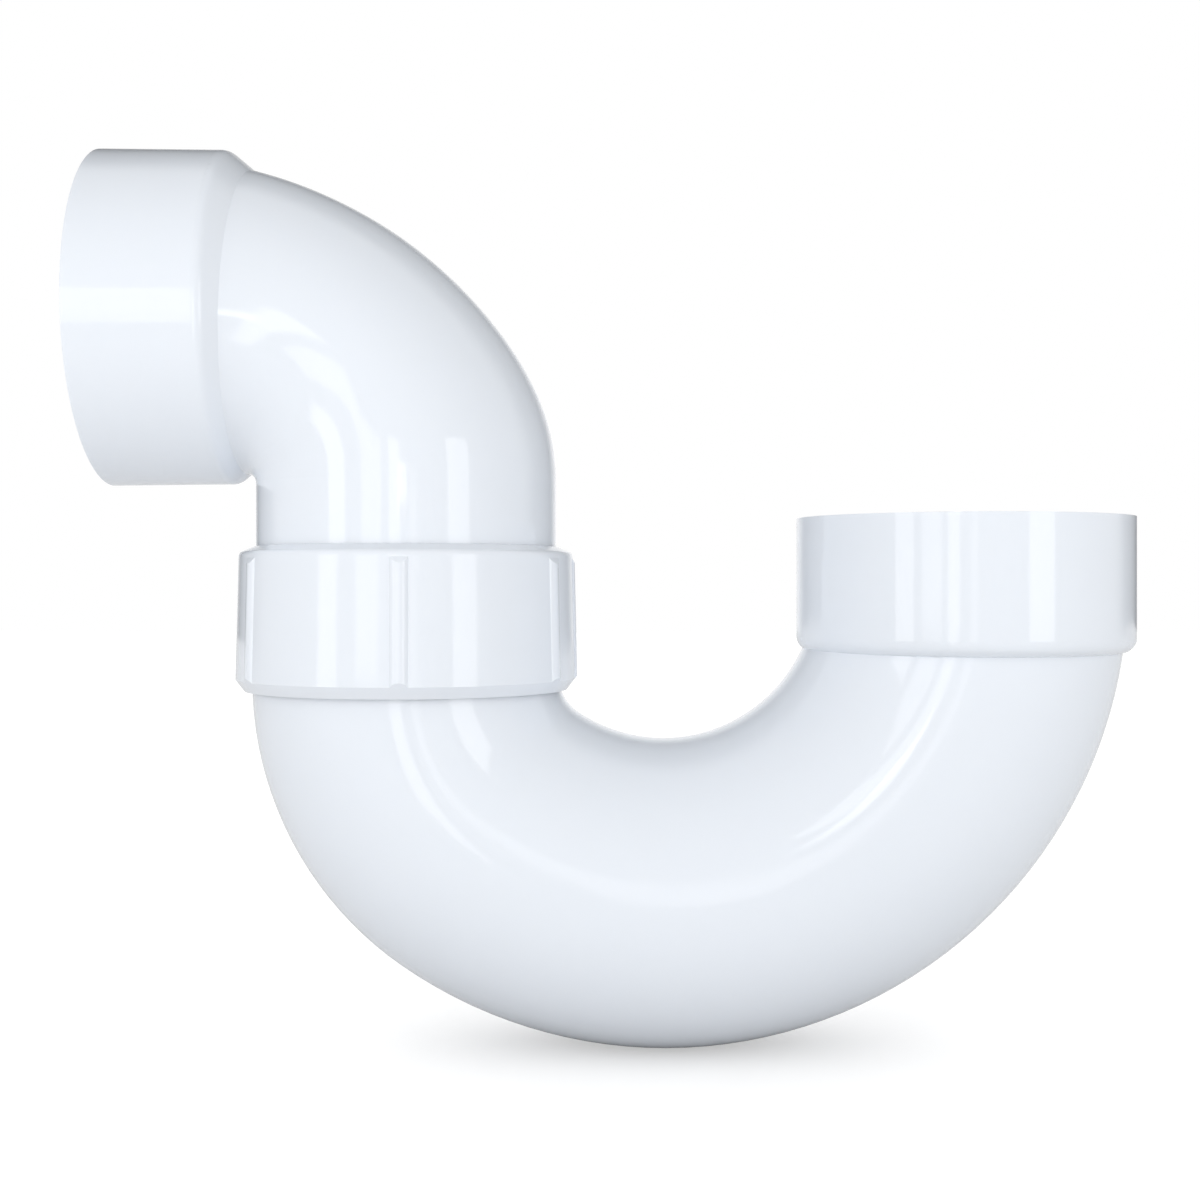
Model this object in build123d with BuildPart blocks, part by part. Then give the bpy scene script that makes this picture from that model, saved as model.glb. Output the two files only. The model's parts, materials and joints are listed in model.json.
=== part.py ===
from build123d import *
from math import atan2, cos, degrees, radians, sin, sqrt, tan
import os

os.makedirs("parts", exist_ok=True)

# A drain trap for two-inch pipe, in millimetres. The origin is the centre of the pipe stop in the inlet
# socket. +Z points up out of that socket, and the outlet socket faces -X.

# Sockets, which take the pipe's outside
pipe_od = 60.3
pipe_slip = 0.1
socket_depth = 19.1
socket_wall = 3.75
socket_lead = 0.6

# Return bend: a U of two tangent bends, with the inlet hub at one end. Its tube is one step smaller in
# radius than the hub.
leg_spacing = 114.0
bend_tube_step = 2.8
bend_wall = 4.5
outlet_bend_radius = 39.5
blend_angle = 34.6
entry_lean = 10.8
entry_depth = 6.4
inlet_hub_height = 27.2
inlet_rim_round = 1.8
inlet_foot_tuck = 0.2
thread_leg = 16.2
leg_end_chamfer = 0.8

# Union: washer, flange ring and nut, stacked on the end of the return bend's short leg. The room round the
# leg holds the thread, and the nut's walls are measured from its bore.
washer_thickness = 3.0
washer_bore_step = 0.3
flange_height = 4.5
flange_clearance = 1.0
flange_chamfer = 0.5
cement_gap = 0.05
lip_thickness = 3.2
lip_slip = 0.3
nut_height = 29.1
thread_room = 1.3
nut_top_wall = 1.4
nut_foot_wall = 2.0
nut_foot_land = 0.25
nut_top_drop = 1.1
nut_top_land = 2.5
nut_shoulder = 1.4
nut_foot_chamfer_height = 2.3

# Grip ribs, and the pair of thinner ones where the halves of the mould met
rib_count = 6
rib_start = -86.2
rib_proud = 0.7
rib_round = 2.5
rib_top_slope = 1.6
seam_start = -2.0
seam_proud = 0.45
seam_round = 1.6

# Trap arm: a leg, one step smaller in radius than the hub, an elbow with a tight throat, and the outlet hub
arm_rise = 54.3
arm_reach = 60.5
arm_wall = 4.0
arm_leg_step = 3.55
throat_radius = 2.2
near_crown_radius = 47.6
far_crown_radius = 88.6
crown_blend = 32.9
fan_step = 15
outlet_hub_length = 25.3
outlet_hub_draft = 0.25
outlet_hub_cone = 40
outlet_cone_drop = 5.0
outlet_cone_round = 3.0
outlet_rim_round = 0.5

# Sizes that follow from the ones above
socket_r = pipe_od / 2 + pipe_slip
hub_r = socket_r + socket_wall
tube_r = hub_r - bend_tube_step
bore_r = tube_r - bend_wall
inlet_foot_round = bend_tube_step + inlet_foot_tuck
leg_r = hub_r - arm_leg_step
leg_x = -leg_spacing

# The larger bend's radius closes the U: both bends and the hub's lean add up to the leg spacing
blend_sine = sin(radians(blend_angle))
inlet_bend_radius = (leg_spacing - outlet_bend_radius * (1 - blend_sine)) / (
    blend_sine + cos(radians(entry_lean))
)
inlet_centre_x = -inlet_bend_radius * cos(radians(entry_lean))
inlet_centre_z = -entry_depth + inlet_bend_radius * sin(radians(entry_lean))
outlet_centre_x = leg_x + outlet_bend_radius
radius_step = inlet_bend_radius - outlet_bend_radius
outlet_centre_z = inlet_centre_z - radius_step * cos(radians(blend_angle))

# Heights in the union, from the bend's leg upward
leg_end_z = outlet_centre_z + thread_leg
flange_low_z = leg_end_z + washer_thickness
flange_high_z = flange_low_z + flange_height
nut_top_z = flange_high_z + lip_thickness
nut_low_z = nut_top_z - nut_height

# Radii in the union. The nut's thread fills the room between its bore and the bend's leg.
nut_bore_r = tube_r + thread_room
nut_top_r = nut_bore_r + nut_top_wall
nut_foot_r = nut_bore_r + nut_foot_wall
nut_low_r = nut_bore_r + nut_foot_land
lip_r = leg_r + lip_slip
flange_r = nut_bore_r - flange_clearance
washer_bore_r = bore_r + washer_bore_step

# The elbow's sections fan out round a pivot under the outlet hub, beside the leg
outlet_z = flange_low_z + arm_rise
mouth_x = leg_x - arm_reach
stop_x = mouth_x + socket_depth
pivot = Vector(leg_x - leg_r - throat_radius, 0, outlet_z - hub_r)
near_crown_centre = Vector(leg_x + leg_r - near_crown_radius, 0, pivot.Z)
crown_step = far_crown_radius - near_crown_radius
far_crown_centre = near_crown_centre - crown_step * Vector(
    cos(radians(crown_blend)), 0, sin(radians(crown_blend))
)

# Upright section planes through the two vertical axes, and the axes that the round forms turn about
leg_section = Plane(origin=(leg_x, 0, 0), x_dir=(1, 0, 0), z_dir=(0, -1, 0))
leg_axis = Axis((leg_x, 0, 0), (0, 0, 1))
hub_section = Plane(origin=(mouth_x, 0, outlet_z), x_dir=(1, 0, 0), z_dir=(0, -1, 0))
hub_axis = Axis((mouth_x, 0, outlet_z), (1, 0, 0))


# Return bend. The water's centre line runs down the short leg and round both bends to the hub.
with BuildLine(Plane.XZ) as u_line:
    Line((leg_x, leg_end_z), (leg_x, outlet_centre_z))
    CenterArc((outlet_centre_x, outlet_centre_z), outlet_bend_radius, 180, 90 - blend_angle)
    CenterArc((inlet_centre_x, inlet_centre_z), inlet_bend_radius, 270 - blend_angle, 90 + blend_angle)

leg_end = Plane(origin=(leg_x, 0, leg_end_z), z_dir=(0, 0, -1))

with BuildPart() as return_bend:
    with BuildSketch(leg_end):
        Circle(tube_r)
    sweep(path=u_line.line)

    # A small chamfer leads the nut onto the leg's end
    leg_rim = return_bend.faces().filter_by(Axis.Z).sort_by(Axis.X)[0]
    chamfer(leg_rim.edges(), length=leg_end_chamfer)

    # The inlet hub, with a rounded rim, and a rounded foot that ends just under the tube's surface
    with BuildSketch(Plane.XZ) as hub_profile:
        with Locations((0, socket_depth)):
            Rectangle(hub_r, inlet_hub_height, align=(Align.MIN, Align.MAX))
        outer_corners = hub_profile.vertices().group_by(Axis.X)[-1].sort_by(Axis.Y)
        fillet(outer_corners[0], radius=inlet_foot_round)
        fillet(outer_corners[-1], radius=inlet_rim_round)
    revolve(axis=Axis.Z)

    # The waterway, and the socket with its lead-in
    with BuildSketch(leg_end):
        Circle(bore_r)
    sweep(path=u_line.line, mode=Mode.SUBTRACT)
    with BuildSketch(Plane.XZ):
        with BuildLine():
            Polyline(
                (0, 0),
                (socket_r, 0),
                (socket_r, socket_depth - socket_lead),
                (socket_r + socket_lead, socket_depth),
                (0, socket_depth),
                close=True,
            )
        make_face()
    revolve(axis=Axis.Z, mode=Mode.SUBTRACT)


# Trap arm. A ray from the pivot meets the near crown's arc first, and past the blend the far crown's.
def fan_direction(angle):
    return Vector(cos(radians(angle)), 0, sin(radians(angle)))


def crown_reach(angle):
    direction = fan_direction(angle)
    crowns = ((near_crown_centre, near_crown_radius), (far_crown_centre, far_crown_radius))
    for centre, radius in crowns:
        offset = pivot - centre
        along = offset.dot(direction)
        reach = sqrt(along**2 - offset.dot(offset) + radius**2) - along
        hit = pivot + direction * reach - centre
        if degrees(atan2(hit.Z, hit.X)) <= crown_blend:
            break
    return reach


def fan_section(angle, inset):
    # Below the pivot the leg is straight, and a fan plane cuts it in an ellipse
    turned = max(angle, 0)
    squeeze = cos(radians(angle - turned))
    direction = fan_direction(angle)
    middle = pivot + direction * (crown_reach(turned) + throat_radius) / 2 / squeeze
    radius = (crown_reach(turned) - throat_radius) / 2 - inset
    with BuildSketch(Plane(origin=middle, x_dir=direction, z_dir=fan_direction(angle + 90))) as section:
        Ellipse(radius / squeeze, radius)
    return section.sketch


def elbow_form(inset):
    # The fan starts one step down the leg, which keeps its wall upright where the elbow begins
    sections = [fan_section(angle, inset) for angle in range(-fan_step, 90 + fan_step, fan_step)]
    with BuildPart() as form:
        loft(sections=sections)
        split(bisect_by=Plane.XY.offset(pivot.Z), keep=Keep.TOP)
        extrude(sections[-1], amount=pivot.X - stop_x)
        extrude(fan_section(0, inset), amount=flange_low_z - pivot.Z)
    return form.part


elbow_outside = elbow_form(0)
elbow_waterway = elbow_form(arm_wall)
cone_length = outlet_cone_drop / tan(radians(outlet_hub_cone))

with BuildPart() as trap_arm:
    add(elbow_outside)

    # The outlet hub: a slight draft, then a cone that runs down onto the elbow
    with BuildSketch(hub_section) as hub_outline:
        with BuildLine():
            Polyline(
                (0, 0),
                (0, hub_r),
                (outlet_hub_length, hub_r - outlet_hub_draft),
                (outlet_hub_length + cone_length, hub_r - outlet_hub_draft - outlet_cone_drop),
                (outlet_hub_length + cone_length, 0),
                close=True,
            )
        make_face()
        rim_corner, cone_corner = hub_outline.vertices().sort_by(Axis.Y)[-1:-3:-1]
        fillet(cone_corner, radius=outlet_cone_round)
        fillet(rim_corner, radius=outlet_rim_round)
    revolve(axis=hub_axis)

    add(elbow_waterway, mode=Mode.SUBTRACT)
    with BuildSketch(hub_section):
        with BuildLine():
            Polyline(
                (0, 0),
                (0, socket_r + socket_lead),
                (socket_lead, socket_r),
                (socket_depth, socket_r),
                (socket_depth, 0),
                close=True,
            )
        make_face()
    revolve(axis=hub_axis, mode=Mode.SUBTRACT)


# Flange ring, cemented round the arm's lower end after the nut is put on
with BuildPart() as flange_ring:
    with BuildSketch(leg_section) as flange_profile:
        with Locations((leg_r + cement_gap, flange_low_z)):
            Rectangle(flange_r - leg_r - cement_gap, flange_height, align=(Align.MIN, Align.MIN))
        chamfer(flange_profile.vertices().group_by(Axis.X)[-1], length=flange_chamfer)
    revolve(axis=leg_axis)


# Sealing washer, flat between the flange ring and the bend's leg
with BuildPart() as sealing_washer:
    with BuildSketch(Plane(origin=(leg_x, 0, leg_end_z))):
        Circle(flange_r)
        Circle(washer_bore_r, mode=Mode.SUBTRACT)
    extrude(amount=washer_thickness)


# Union nut. Its foot chamfer, carried outward, also cuts the ribs' lower ends.
chamfer_top_z = nut_low_z + nut_foot_chamfer_height
shoulder_z = nut_top_z - nut_top_drop - nut_shoulder
chamfer_slope = nut_foot_chamfer_height / (nut_foot_r - nut_low_r)


def rib_form(proud, rounding):
    # A rod that follows the nut's draft, kept outside its bore and cut to a slope at each end
    clear_r = nut_foot_r + 2 * proud
    with BuildPart() as rib:
        with BuildSketch(Plane.XY.offset(nut_low_z)):
            with Locations((nut_foot_r + proud - rounding, 0)):
                Circle(rounding)
        with BuildSketch(Plane.XY.offset(shoulder_z)):
            with Locations((nut_top_r + proud - rounding, 0)):
                Circle(rounding)
        loft()
        with BuildSketch(Plane.XZ):
            with BuildLine():
                Polyline(
                    (nut_low_r, nut_low_z),
                    (clear_r, chamfer_top_z + (clear_r - nut_foot_r) * chamfer_slope),
                    (clear_r, shoulder_z - (clear_r - nut_top_r) * rib_top_slope),
                    (nut_top_r, shoulder_z),
                    (nut_low_r, shoulder_z),
                    close=True,
                )
            make_face()
        revolve(axis=Axis.Z, mode=Mode.INTERSECT)
    return rib.part


grip_rib = rib_form(rib_proud, rib_round)
seam_rib = rib_form(seam_proud, seam_round)

with BuildPart() as union_nut:
    with BuildSketch(leg_section):
        with BuildLine():
            Polyline(
                (lip_r, nut_top_z),
                (lip_r, flange_high_z),
                (nut_bore_r, flange_high_z),
                (nut_bore_r, nut_low_z),
                (nut_low_r, nut_low_z),
                (nut_foot_r, chamfer_top_z),
                (nut_top_r, shoulder_z),
            )
            shoulder_start = (lip_r + nut_top_land, nut_top_z - nut_top_drop)
            Spline(
                (nut_top_r, shoulder_z),
                shoulder_start,
                tangents=((0, 1), (-nut_top_land, nut_top_drop)),
            )
            Line(shoulder_start, (lip_r, nut_top_z))
        make_face()
    revolve(axis=leg_axis)
    with Locations(Plane(origin=(leg_x, 0, 0))):
        with PolarLocations(0, rib_count, start_angle=rib_start):
            add(grip_rib)
        with PolarLocations(0, 2, start_angle=seam_start):
            add(seam_rib)


return_bend.part.label = "return_bend"
trap_arm.part.label = "trap_arm"
flange_ring.part.label = "flange_ring"
sealing_washer.part.label = "sealing_washer"
union_nut.part.label = "union_nut"

export_step(return_bend.part, "parts/return_bend.step")
export_step(trap_arm.part, "parts/trap_arm.step")
export_step(flange_ring.part, "parts/flange_ring.step")
export_step(sealing_washer.part, "parts/sealing_washer.step")
export_step(union_nut.part, "parts/union_nut.step")
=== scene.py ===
# %% [markdown]
# # A moulded drain trap
#
# The object is a glossy white trap for two-inch pipe: a U-shaped return bend, an elbow called the trap arm,
# and a ribbed union nut that holds them together. This lesson loads the solids, which have the real sizes,
# and gives them the look of injection-moulded plastic: the finish, the mould's parting line, the union's
# thread, and a plain studio. Everything is in metres, in the solids' own frame: the origin is the pipe stop
# in the inlet socket, +Z is up, and the outlet socket faces -X.

# %% Load the solids
import json
from math import pi, radians

import bpy
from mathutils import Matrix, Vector


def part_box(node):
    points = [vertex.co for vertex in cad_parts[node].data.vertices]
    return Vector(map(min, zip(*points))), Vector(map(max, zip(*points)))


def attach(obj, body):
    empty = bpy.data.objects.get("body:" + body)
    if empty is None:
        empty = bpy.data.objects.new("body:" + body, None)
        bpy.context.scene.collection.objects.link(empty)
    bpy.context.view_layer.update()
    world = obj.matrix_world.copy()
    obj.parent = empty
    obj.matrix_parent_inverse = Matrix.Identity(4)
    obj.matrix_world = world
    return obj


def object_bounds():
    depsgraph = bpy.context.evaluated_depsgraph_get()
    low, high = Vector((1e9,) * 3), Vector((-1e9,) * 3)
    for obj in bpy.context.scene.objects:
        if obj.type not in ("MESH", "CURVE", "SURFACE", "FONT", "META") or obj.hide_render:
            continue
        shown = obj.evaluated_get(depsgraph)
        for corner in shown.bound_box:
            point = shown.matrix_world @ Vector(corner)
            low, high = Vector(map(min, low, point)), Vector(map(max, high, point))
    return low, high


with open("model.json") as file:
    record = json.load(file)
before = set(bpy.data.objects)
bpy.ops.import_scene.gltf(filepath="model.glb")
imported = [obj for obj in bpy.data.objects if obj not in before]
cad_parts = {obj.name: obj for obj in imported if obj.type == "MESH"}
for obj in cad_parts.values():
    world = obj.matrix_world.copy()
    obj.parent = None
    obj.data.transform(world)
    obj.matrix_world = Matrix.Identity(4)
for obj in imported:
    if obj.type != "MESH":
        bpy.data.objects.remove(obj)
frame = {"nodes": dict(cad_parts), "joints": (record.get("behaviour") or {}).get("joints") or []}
cad_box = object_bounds()
MM = 0.001
print("nodes:", sorted(frame["nodes"]))

# %% [markdown]
# ## Measure the union
#
# The thread has to sit on the solids, so its axis, the leg's radius and the pitch are read from the solids'
# own boxes and from the joints that lift and turn the nut. They could be typed in, but a number that is
# written twice can disagree with itself.

# %% Sizes read from the frame
joints = {joint["name"]: joint for joint in frame["joints"]}
union_x = joints["nut_turn"]["pos_m"][0]
lift_range = joints["union_lift"]["range_m"][1]
nut_turns = joints["nut_turn"]["range_deg"][1] / 360
thread_pitch = lift_range / nut_turns

bend_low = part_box("return_bend")[0]
washer_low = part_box("sealing_washer")[0]
leg_outer_r = union_x - bend_low.x
print(f"union axis at x = {union_x / MM:.1f} mm, pitch {thread_pitch / MM:.2f} mm")
print(f"return bend's leg: radius {leg_outer_r / MM:.2f} mm, ends at z = {washer_low.z / MM:.2f} mm")

# %% [markdown]
# ## The camera
#
# The photograph looks level along +Y from a third of a metre, a little to the left of the middle of the
# trap. Its horizon lies just above the middle of the picture, which a small lens shift gives without tilting
# the camera, so that upright edges stay upright.

# %% Camera
PHOTO_WIDTH = 1200
FOCAL_PX = 1671.8
HORIZON_PX = 585
SENSOR_MM = 36
eye = Vector((-74.5, -343.0, 5.44)) * MM

camera_data = bpy.data.cameras.new("camera")
camera_data.sensor_width = SENSOR_MM
camera_data.lens = FOCAL_PX / PHOTO_WIDTH * SENSOR_MM
camera_data.shift_y = (HORIZON_PX - PHOTO_WIDTH / 2) / PHOTO_WIDTH
camera = bpy.data.objects.new("camera", camera_data)
camera.location = eye
camera.rotation_euler = (pi / 2, 0, 0)
bpy.context.scene.collection.objects.link(camera)
bpy.context.scene.camera = camera
print(f"camera at {tuple(round(v, 4) for v in eye)}, lens {camera_data.lens:.1f} mm")

# %% [markdown]
# ## Small helpers for node trees
#
# Materials and Geometry Nodes are both trees of nodes. Four short helpers keep the cells readable: one adds
# a node and sets its inputs, one adds a node that does arithmetic, one starts a material with an empty tree,
# and one adds noise.


# %% Node helpers
def add_node(tree, kind, values=None, **settings):
    """A new node of that kind, with its properties set and its inputs filled or linked."""
    node = tree.nodes.new(kind)
    for name, value in settings.items():
        setattr(node, name, value)
    for name, value in (values or {}).items():
        if isinstance(value, bpy.types.NodeSocket):
            tree.links.new(value, node.inputs[name])
        else:
            node.inputs[name].default_value = value
    return node


def calculate(tree, operation, *numbers):
    """The socket that holds the result of a Math node."""
    return add_node(tree, "ShaderNodeMath", dict(enumerate(numbers)), operation=operation).outputs[0]


def new_material(name):
    """A material with an empty tree, and its output node."""
    material = bpy.data.materials.new(name)
    material.use_nodes = True
    material.node_tree.nodes.clear()
    output = add_node(material.node_tree, "ShaderNodeOutputMaterial")
    return material, material.node_tree, output


def noise(tree, place, scale, detail, **more):
    """The socket that holds noise, from 0 to 1. The scale is in patches a metre."""
    values = {"Vector": place, "Scale": scale, "Detail": detail}
    return add_node(tree, "ShaderNodeTexNoise", values | more).outputs["Fac"]


# %% [markdown]
# ## White moulded plastic
#
# Rigid PVC is a milky, slightly blue white. Light goes a short way into it, so shadows inside it are soft,
# and its skin is glossy but never a mirror: the steel of the mould leaves a faint waviness, and the skin is
# a little duller where the plastic flowed. A flat colour would miss all of that. So the tree has four layers
# of noise in Object coordinates, which keep a real scale: slow clouds for the colour, flow marks for the
# gloss, and medium waves and a fine grain for the bump.
#
# The bend and the arm are moulded in two halves that part along the middle, at y = 0, and the joint of the
# halves leaves a hairline over their crowns. It is drawn in the colour, because a bump as thin as that would
# sparkle along the outline. The nut gets no such line, because its solid has a pair of thinner ribs where
# the halves of its mould are taken to meet.

# %% Parting line
PARTING_SHADE = 0.5
PARTING_DEPTH = 0.8


def with_parting_line(tree, place, paint, deep, width_mm):
    """The paint with a soft line at y = 0, which is darker than the deep end of the plastic's colour."""
    parts = add_node(tree, "ShaderNodeSeparateXYZ", {"Vector": place})
    aside = calculate(tree, "ABSOLUTE", parts.outputs["Y"])
    hairline = add_node(
        tree,
        "ShaderNodeMapRange",
        {"Value": aside, "From Max": width_mm * MM, "To Min": PARTING_SHADE, "To Max": 0.0},
        interpolation_type="SMOOTHSTEP",
    )
    values = {"Factor": hairline.outputs["Result"], "A": paint}
    marked = add_node(tree, "ShaderNodeMix", values, data_type="RGBA")
    marked.inputs["B"].default_value = (*(PARTING_DEPTH * part for part in deep), 1)
    return marked.outputs["Result"]


# %% Plastic
CLOUDS_PER_METRE = 28.0
FLOW_PER_METRE = 90.0
FLOW_SPAN = {"From Min": 0.3, "From Max": 0.7}
WAVE_BUMP = {"Strength": 0.25, "Distance": 0.12 * MM}
GRAIN_BUMP = {"Strength": 0.12, "Distance": 0.02 * MM}
PVC_SKIN = {
    "IOR": 1.53,
    "Subsurface Weight": 0.12,
    "Subsurface Radius": (0.9, 0.95, 1.0),
    "Subsurface Scale": 1.5 * MM,
}


def moulded_plastic(name, light, deep, roughness, wave_mm, grain_mm, parting_mm=0):
    """Glossy plastic. Its colour lies between light and deep, and its roughness between the two given."""
    material, tree, output = new_material(name)
    place = add_node(tree, "ShaderNodeTexCoord").outputs["Object"]
    clouds = noise(tree, place, CLOUDS_PER_METRE, detail=4.0, Roughness=0.55)
    colour = add_node(tree, "ShaderNodeMix", {"Factor": clouds}, data_type="RGBA")
    colour.inputs["A"].default_value = (*light, 1)
    colour.inputs["B"].default_value = (*deep, 1)
    paint = colour.outputs["Result"]
    if parting_mm:
        paint = with_parting_line(tree, place, paint, deep, parting_mm)

    flow = noise(tree, place, FLOW_PER_METRE, detail=6.0, Distortion=0.8)
    smooth, dull = roughness
    ends = FLOW_SPAN | {"To Min": smooth, "To Max": dull}
    gloss = add_node(tree, "ShaderNodeMapRange", {"Value": flow} | ends)

    waves = noise(tree, place, 1 / (wave_mm * MM), detail=2.0)
    grain = noise(tree, place, 1 / (grain_mm * MM), detail=3.0)
    waved = add_node(tree, "ShaderNodeBump", {"Height": waves} | WAVE_BUMP).outputs["Normal"]
    grained = add_node(tree, "ShaderNodeBump", {"Height": grain, "Normal": waved} | GRAIN_BUMP)

    look = {"Base Color": paint, "Roughness": gloss.outputs["Result"], "Normal": grained.outputs["Normal"]}
    skin = add_node(tree, "ShaderNodeBsdfPrincipled", look | PVC_SKIN)
    tree.links.new(skin.outputs["BSDF"], output.inputs["Surface"])
    print("material", name)
    return material


pipe_white = moulded_plastic(
    "moulded_pvc",
    light=(0.82, 0.858, 0.915),
    deep=(0.80, 0.84, 0.897),
    roughness=(0.05, 0.10),
    wave_mm=14,
    grain_mm=0.7,
    parting_mm=0.12,
)
nut_white = moulded_plastic(
    "moulded_pvc_nut",
    light=(0.815, 0.853, 0.91),
    deep=(0.795, 0.835, 0.892),
    roughness=(0.06, 0.12),
    wave_mm=10,
    grain_mm=0.6,
)

# %% [markdown]
# ## Black washer rubber
#
# The washer is punched from rubber sheet: a dull, nearly black grey with a fine grain and small pale specks
# of the talc that keeps such washers from sticking together. A Voronoi texture has one point in each of its
# cells, so the places close to a point make good specks.

# %% Rubber
RUBBER_BLACK = (0.016, 0.016, 0.018, 1)
TALC_GREY = (0.06, 0.06, 0.062, 1)
RUBBER_GRAINS_PER_METRE = 1800.0
TALC_SPECKS_PER_METRE = 900.0
TALC_SPAN = {"From Min": 0.05, "From Max": 0.16}
RUBBER_BUMP = {"Strength": 0.5, "Distance": 0.05 * MM}
RUBBER_SKIN = {"Roughness": 0.72, "Specular IOR Level": 0.35}


def punched_rubber(name):
    """Dull black rubber with specks of talc."""
    material, tree, output = new_material(name)
    place = add_node(tree, "ShaderNodeTexCoord").outputs["Object"]
    specks = add_node(tree, "ShaderNodeTexVoronoi", {"Vector": place, "Scale": TALC_SPECKS_PER_METRE})
    near = {"Value": specks.outputs["Distance"], "To Min": 1.0, "To Max": 0.0}
    talc = add_node(tree, "ShaderNodeMapRange", near | TALC_SPAN)
    colour = add_node(tree, "ShaderNodeMix", {"Factor": talc.outputs["Result"]}, data_type="RGBA")
    colour.inputs["A"].default_value = RUBBER_BLACK
    colour.inputs["B"].default_value = TALC_GREY
    grain = noise(tree, place, RUBBER_GRAINS_PER_METRE, detail=5.0)
    bump = add_node(tree, "ShaderNodeBump", {"Height": grain} | RUBBER_BUMP)
    look = {"Base Color": colour.outputs["Result"], "Normal": bump.outputs["Normal"]}
    skin = add_node(tree, "ShaderNodeBsdfPrincipled", look | RUBBER_SKIN)
    tree.links.new(skin.outputs["BSDF"], output.inputs["Surface"])
    print("material", name)
    return material


washer_black = punched_rubber("washer_rubber")

# %% [markdown]
# ## Give the solids their finish
#
# A solid whose shape is right stays as it is, and only its material changes. The rounded rims, the ribs and
# the elbow's swell are all in the solids, so nothing here replaces them.

# %% Assign the finishes
finishes = {
    "return_bend": pipe_white,
    "trap_arm": pipe_white,
    "flange_ring": pipe_white,
    "union_nut": nut_white,
    "sealing_washer": washer_black,
}
for name, material in finishes.items():
    mesh = frame["nodes"][name].data
    mesh.materials.clear()
    mesh.materials.append(material)
print("finishes on", len(finishes), "solids")

# %% [markdown]
# ## The union's thread
#
# The nut is screwed on a fine right-hand thread, which the solids leave plain: a leg of one radius inside a
# bore of another. A thread is one ridge that follows a helix, so Geometry Nodes suit it well: a spiral curve
# carries a small trapezoid from end to end, and the ridge fades out where it starts and stops, as a moulded
# thread does. Using the same tree for the leg and for the nut keeps their pitch alike, and the nut's ridge
# lies half a pitch away, in the leg's groove. The pitch comes from the joint, so the nut climbs as it turns.

# %% Inputs of the thread's tree
THREAD_SIZES = ("Axis X", "Low End", "Length", "Pitch", "Root Radius", "Ridge Height")
THREAD_SHAPE = ("Foot Width", "Crest Width", "Fade Turns", "Section Turn")
ENDS_SCALE = 0.02


def add_sockets(tree):
    """Give the tree its named inputs and its output, and return the inputs' sockets."""
    for name in THREAD_SIZES + THREAD_SHAPE:
        tree.interface.new_socket(name, in_out="INPUT", socket_type="NodeSocketFloat")
    tree.interface.new_socket("Points a Turn", in_out="INPUT", socket_type="NodeSocketInt")
    tree.interface.new_socket("Material", in_out="INPUT", socket_type="NodeSocketMaterial")
    tree.interface.new_socket("Geometry", in_out="OUTPUT", socket_type="NodeSocketGeometry")
    return add_node(tree, "NodeGroupInput").outputs


# %% [markdown]
# ## The parts of the thread's tree
#
# The tree has three parts. The section is a trapezoid that stands on the root radius, and Section Turn
# points it away from the axis or towards it. The fade measures how many turns a place is from the nearer
# end, and shrinks the section close to that end. The helix carries the section at the size the fade gives.


# %% Section and fade
def ridge_section(tree, size):
    """A trapezoid with its foot at zero, turned outwards or inwards."""
    section = add_node(
        tree,
        "GeometryNodeCurvePrimitiveQuadrilateral",
        {
            "Height": size["Ridge Height"],
            "Bottom Width": size["Foot Width"],
            "Top Width": size["Crest Width"],
            "Offset": 0.0,
        },
        mode="TRAPEZOID",
    )
    half_ridge = calculate(tree, "MULTIPLY", size["Ridge Height"], 0.5)
    lift = add_node(tree, "ShaderNodeCombineXYZ", {"Y": half_ridge}).outputs[0]
    lifted = {"Geometry": section.outputs["Curve"], "Translation": lift}
    on_root = add_node(tree, "GeometryNodeTransform", lifted).outputs[0]
    turn = add_node(tree, "ShaderNodeCombineXYZ", {"Z": size["Section Turn"]}).outputs[0]
    return add_node(tree, "GeometryNodeTransform", {"Geometry": on_root, "Rotation": turn}).outputs[0]


def end_fade(tree, size, turns):
    """The section's scale along the helix: full in the middle, and nearly nothing at both ends."""
    done = add_node(tree, "GeometryNodeSplineParameter").outputs["Factor"]
    left = calculate(tree, "SUBTRACT", 1.0, done)
    nearer = calculate(tree, "MINIMUM", done, left)
    from_end = calculate(tree, "MULTIPLY", nearer, turns)
    values = {"Value": from_end, "From Max": size["Fade Turns"], "To Min": ENDS_SCALE}
    return add_node(tree, "ShaderNodeMapRange", values, interpolation_type="SMOOTHSTEP").outputs["Result"]


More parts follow.
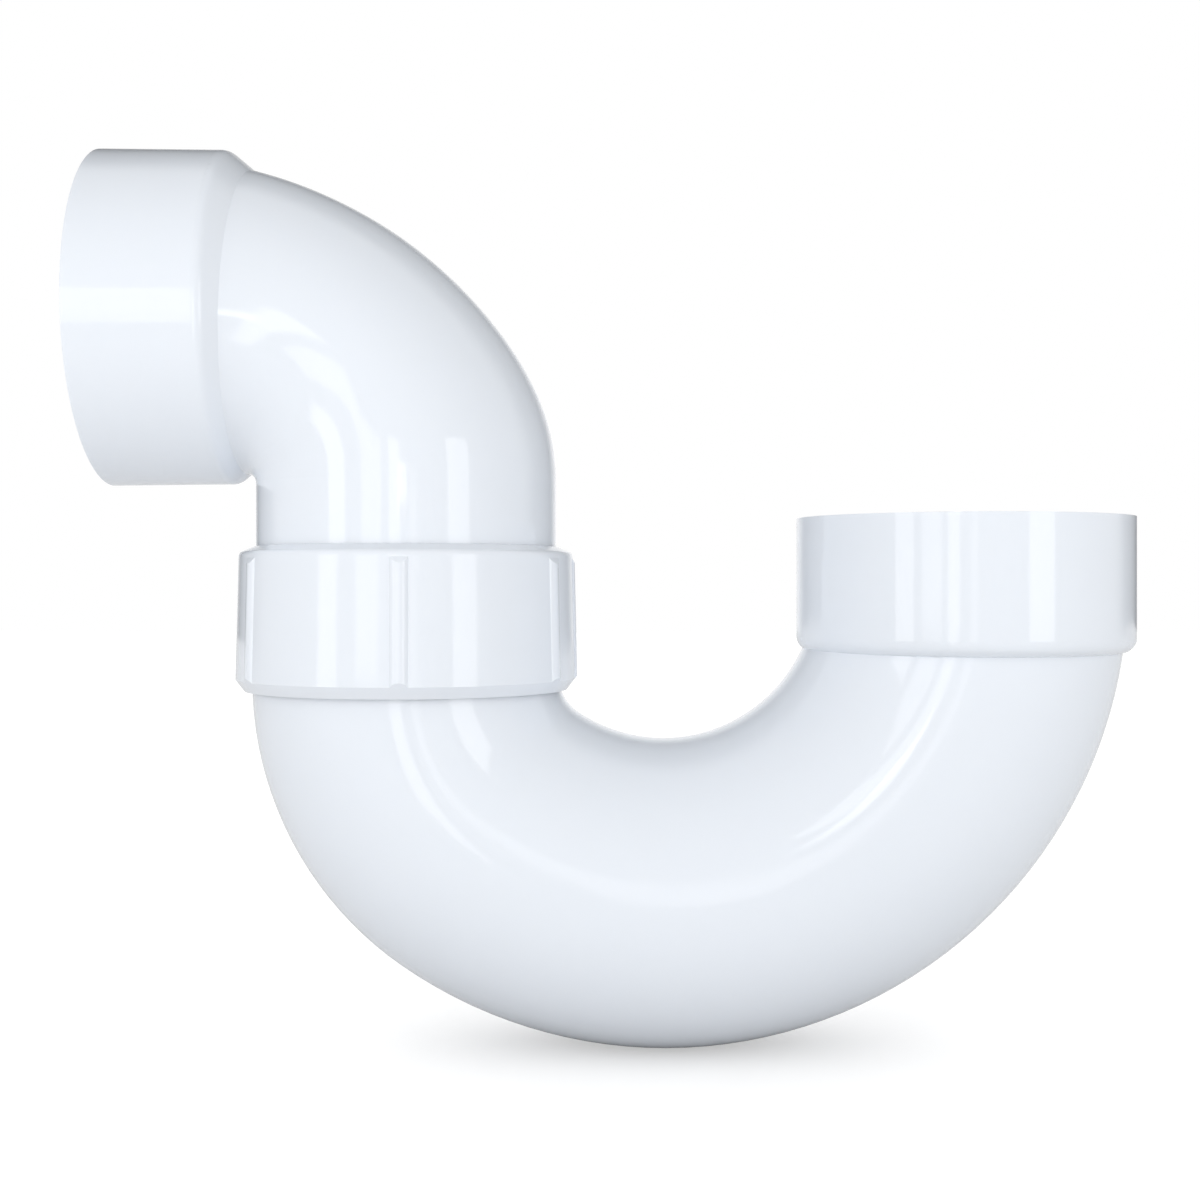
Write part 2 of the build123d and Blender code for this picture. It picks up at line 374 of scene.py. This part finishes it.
# %% Node tree of a thread
def thread_tree():
    """A ridge on a helix round an upright axis."""
    tree = bpy.data.node_groups.new("screw_thread", "GeometryNodeTree")
    size = add_sockets(tree)
    turns = calculate(tree, "DIVIDE", size["Length"], size["Pitch"])
    helix = add_node(
        tree,
        "GeometryNodeCurveSpiral",
        {
            "Resolution": size["Points a Turn"],
            "Rotations": turns,
            "Start Radius": size["Root Radius"],
            "End Radius": size["Root Radius"],
            "Height": size["Length"],
            "Reverse": True,
        },
    )
    upright = add_node(tree, "GeometryNodeSetCurveNormal", {"Curve": helix.outputs["Curve"]}, mode="Z_UP")
    ridge = add_node(
        tree,
        "GeometryNodeCurveToMesh",
        {
            "Curve": upright.outputs["Curve"],
            "Profile Curve": ridge_section(tree, size),
            "Scale": end_fade(tree, size, turns),
            "Fill Caps": True,
        },
    )
    place = add_node(tree, "ShaderNodeCombineXYZ", {"X": size["Axis X"], "Z": size["Low End"]}).outputs[0]
    moved = {"Geometry": ridge.outputs["Mesh"], "Translation": place}
    placed = add_node(tree, "GeometryNodeTransform", moved).outputs[0]
    solid = add_node(tree, "GeometryNodeRealizeInstances", {"Geometry": placed}).outputs[0]
    coloured = {"Geometry": solid, "Material": size["Material"]}
    finished = add_node(tree, "GeometryNodeSetMaterial", coloured).outputs[0]
    add_node(tree, "NodeGroupOutput", {"Geometry": finished})
    return tree


screw_thread = thread_tree()
print("thread tree:", len(screw_thread.nodes), "nodes")

# %% [markdown]
# ## From tree to mesh
#
# A modifier's inputs are set by their identifiers before the object is first evaluated. The evaluated result
# then becomes a plain mesh, and the object that carried the modifier is no longer needed.


# %% From tree to mesh
def grow(name, tree, sizes):
    """A plain mesh object that the tree makes from these sizes."""
    seed = bpy.data.objects.new(name + "_seed", bpy.data.meshes.new(name + "_seed"))
    bpy.context.scene.collection.objects.link(seed)
    modifier = seed.modifiers.new("tree", "NODES")
    modifier.node_group = tree
    for item in tree.interface.items_tree:
        if item.in_out == "INPUT":
            modifier[item.identifier] = sizes[item.name]
    evaluated = seed.evaluated_get(bpy.context.evaluated_depsgraph_get())
    shape = bpy.data.meshes.new_from_object(evaluated)
    bpy.data.objects.remove(seed)
    shape.name = name
    piece = bpy.data.objects.new(name, shape)
    bpy.context.scene.collection.objects.link(piece)
    print(f"{name}: {len(shape.vertices)} points, {len(shape.polygons)} faces")
    return piece


# %% [markdown]
# ## Sizes of the two threads
#
# Each ridge starts a little inside the wall that carries it, so that no gap shows at its foot. Both stop
# below the washer, because the washer and the flange ring lie in the nut's bore above that height. No box
# shows the nut's bore, so its radius is typed in.

# %% Sizes of the threads
NUT_BORE_R = 32.5 * MM
SUNK = 0.1 * MM
OUTWARDS = -pi / 2
INWARDS = pi / 2
ridge_sizes = {
    "Axis X": union_x,
    "Pitch": thread_pitch,
    "Ridge Height": 1.0 * MM,
    "Foot Width": 1.9 * MM,
    "Crest Width": 0.7 * MM,
    "Fade Turns": 0.25,
    "Points a Turn": 120,
}
leg_thread = {
    "Low End": -11.0 * MM,
    "Length": 12.6 * MM,
    "Root Radius": leg_outer_r - SUNK,
    "Section Turn": OUTWARDS,
    "Material": pipe_white,
}
nut_thread = {
    "Low End": leg_thread["Low End"] + 0.5 * thread_pitch,
    "Length": 10.4 * MM,
    "Root Radius": NUT_BORE_R + SUNK,
    "Section Turn": INWARDS,
    "Material": nut_white,
}


# %% Cut the two threads
def print_reach(name, ridge):
    """How far the ridge reaches from the union's axis, and up."""
    points = [vertex.co for vertex in ridge.data.vertices]
    radii = [Vector((point.x - union_x, point.y)).length / MM for point in points]
    heights = [point.z / MM for point in points]
    print(f"{name}: radius {min(radii):.2f} to {max(radii):.2f} mm")
    print(f"{name}: z {min(heights):.2f} to {max(heights):.2f} mm")


for name, body, slot, own in (
    ("leg_thread", "bend", "pipe_pvc", leg_thread),
    ("nut_thread", "nut", "nut_pvc", nut_thread),
):
    ridge = grow(name, screw_thread, ridge_sizes | own)
    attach(ridge, body)
    print_reach(name, ridge)

# %% [markdown]
# ## The studio: white paper
#
# The trap stands on white paper in front of a white ground. A Light Path node lets the paper and the room
# answer each kind of ray with a brightness of its own: plain white to the camera, softer in the reflections
# on the plastic. More light would whiten the ground too, but it would also wash out the trap.


# %% Brightness for each kind of ray
def by_ray(tree, passed_on, mirrored, seen):
    """passed_on lights other surfaces, mirrored shows in gloss, and seen shows to the camera and in glass."""
    rays = add_node(tree, "ShaderNodeLightPath").outputs
    direct = calculate(tree, "MAXIMUM", rays["Is Camera Ray"], rays["Is Transmission Ray"])
    indirect = {"Factor": rays["Is Glossy Ray"], "A": passed_on, "B": mirrored}
    bounced = add_node(tree, "ShaderNodeMix", indirect).outputs["Result"]
    values = {"Factor": direct, "A": bounced, "B": seen}
    return add_node(tree, "ShaderNodeMix", values).outputs["Result"]


# %% Paper
PAPER_GRAINS_PER_METRE = 60.0
PAPER_UNEVENNESS = 0.01


def paper(name, tone, added_white, mirrored_white):
    """Matt paper. added_white is what the camera sees on top of the light that it scatters."""
    material, tree, output = new_material(name)
    place = add_node(tree, "ShaderNodeTexCoord").outputs["Object"]
    grain = noise(tree, place, PAPER_GRAINS_PER_METRE, detail=3.0)
    shades = {"Value": grain, "To Min": tone - PAPER_UNEVENNESS, "To Max": tone + PAPER_UNEVENNESS}
    shade = add_node(tree, "ShaderNodeMapRange", shades).outputs["Result"]
    matt = add_node(tree, "ShaderNodeBsdfDiffuse", {"Color": shade}).outputs[0]
    glow = by_ray(tree, 0.0, mirrored_white, added_white)
    plain = add_node(tree, "ShaderNodeEmission", {"Strength": glow}).outputs[0]
    both = add_node(tree, "ShaderNodeAddShader", {0: matt, 1: plain})
    tree.links.new(both.outputs[0], output.inputs["Surface"])
    return material


# %% Paper floor
FLOOR_SIZE = 6.0
floor_z = cad_box[0][2]
half = FLOOR_SIZE / 2
corners = [(-half, -half, floor_z), (half, -half, floor_z), (half, half, floor_z), (-half, half, floor_z)]
floor_mesh = bpy.data.meshes.new("paper_floor")
floor_mesh.from_pydata(corners, [], [(0, 1, 2, 3)])
floor_mesh.materials.append(paper("white_paper", tone=0.54, added_white=0.45, mirrored_white=0.02))
floor = bpy.data.objects.new("paper_floor", floor_mesh)
bpy.context.scene.collection.objects.link(floor)
print("floor at z =", round(floor_z, 4))

# %% [markdown]
# ## The studio: a soft room
#
# A white form on white paper is drawn by its darker edges alone. So the room gives most of its light from in
# front and from behind, and surfaces that face sideways, up or down get less of it. In the gloss the room is
# bright in front and straight behind, with a dark stretch between them at the back, as dark boards behind
# the trap would give. Their reflection runs just inside the outline and draws it grey.

# %% Room
# Each pair is how far a direction points to the back, from -1 to 1, and the brightness there
GIVEN_LIGHT = ((-1.0, 1.3), (-0.15, 0.3), (0.15, 0.3), (1.0, 1.7))
MIRRORED_LIGHT = ((-1.0, 1.0), (0.25, 0.8), (0.5, 0.0), (0.86, 0.0), (0.97, 1.0))

world = bpy.data.worlds.new("room")
bpy.context.scene.world = world
world.use_nodes = True
room = world.node_tree
room.nodes.clear()
direction = add_node(room, "ShaderNodeTexCoord").outputs["Generated"]
parts = add_node(room, "ShaderNodeSeparateXYZ", {"Vector": direction})
backward = add_node(room, "ShaderNodeMapRange", {"Value": parts.outputs["Y"], "From Min": -1.0})


def shaped_light(stops):
    """Brightness by how far a direction points to the back."""
    ramp = add_node(room, "ShaderNodeFloatCurve", {"Value": backward.outputs["Result"]})
    curve = ramp.mapping.curves[0]
    brightest = max(brightness for _, brightness in stops)
    points = [((facing + 1) / 2, brightness / brightest) for facing, brightness in stops]
    curve.points[0].location = (0, points[0][1])
    curve.points[-1].location = (1, points[-1][1])
    for place in points:
        if 0 < place[0] < 1:
            curve.points.new(*place)
    for point in curve.points:
        point.handle_type = "VECTOR"
    ramp.mapping.update()
    return calculate(room, "MULTIPLY", ramp.outputs["Value"], brightest)


strength = by_ray(room, shaped_light(GIVEN_LIGHT), shaped_light(MIRRORED_LIGHT), 1.0)
background = add_node(room, "ShaderNodeBackground", {"Strength": strength, "Color": (1, 1, 1, 1)})
add_node(room, "ShaderNodeOutputWorld", {"Surface": background.outputs[0]})
print("room gives", GIVEN_LIGHT, "and mirrors", MIRRORED_LIGHT)

# %% [markdown]
# ## A lamp for the paper
#
# Under the bend lies a short, soft shadow, as from a wide bank of lamps overhead. That light would wash out
# the top of the trap, so light linking lets it reach the paper alone, while the trap still blocks it. A sun
# lamp gives the same light all over the paper, and its wide angle keeps the shadow soft.

# %% Overhead light
OVERHEAD_LIGHT = 1.8
OVERHEAD_ANGLE = 120
OVERHEAD_TILT = 8

overhead_data = bpy.data.lights.new("overhead", "SUN")
overhead_data.energy = OVERHEAD_LIGHT
overhead_data.angle = radians(OVERHEAD_ANGLE)
overhead = bpy.data.objects.new("overhead", overhead_data)
overhead.rotation_euler = (radians(OVERHEAD_TILT), 0, 0)
bpy.context.scene.collection.objects.link(overhead)
lit_by_overhead = bpy.data.collections.new("lit_by_overhead")
lit_by_overhead.objects.link(floor)
overhead.light_linking.receiver_collection = lit_by_overhead
print("overhead light on the paper:", OVERHEAD_LIGHT)

# %% [markdown]
# ## Lamps for the streaks
#
# The long pale streaks on a glossy tube are the reflections of tall, narrow softboxes. A lamp's brightness
# here is what a mirror would show, and the plastic reflects about a twentieth of it, so two units of
# brightness make a streak that stands out by a tenth. Two tall strips stand far to the left and right of
# the camera, and four small lamps close to it. The one just right of the lens draws the thin arc along the
# middle of the U. The two fills stand low at the trap's ends, where they lift the sides of the leg and of the
# inlet hub, and they show in no reflection.

# %% Lamps
LAMPS_AIM = Vector((-90, 0, 10)) * MM


def softbox(name, place_mm, width_mm, height_mm, brightness, mirrored=True):
    """A rectangular lamp at a place, turned towards the trap, with its brightness as a mirror shows it."""
    place = Vector(place_mm) * MM
    data = bpy.data.lights.new(name, "AREA")
    data.shape = "RECTANGLE"
    data.size = width_mm * MM
    data.size_y = height_mm * MM
    data.energy = brightness * pi * data.size * data.size_y
    lamp = bpy.data.objects.new(name, data)
    lamp.location = place
    lamp.rotation_euler = (place - LAMPS_AIM).to_track_quat("Z", "Y").to_euler()
    lamp.visible_glossy = mirrored
    lamp.visible_camera = False
    bpy.context.scene.collection.objects.link(lamp)
    print(f"{name}: {data.energy:.2f} W")


softbox("strip_beside_camera", (-132, -406, 20), 55, 230, 1.7)
softbox("lamp_over_lens", (-95, -385, 52), 40, 28, 3.0)
softbox("strip_right_of_lens", (-38, -406, -10), 34, 120, 0.8)
softbox("box_left_of_camera", (-255, -406, 60), 110, 155, 1.3)
softbox("left_strip", (-906, -744, 60), 260, 560, 1.8)
softbox("right_strip", (570, -698, 60), 285, 560, 1.9)
softbox("left_fill", (-520, -260, 70), 240, 420, 0.9, mirrored=False)
softbox("right_fill", (330, -230, 60), 200, 380, 0.6, mirrored=False)

# %% [markdown]
# ## Finish
#
# The picture uses the Standard view transform.

# %% Finish
bpy.context.scene.view_settings.view_transform = "Standard"
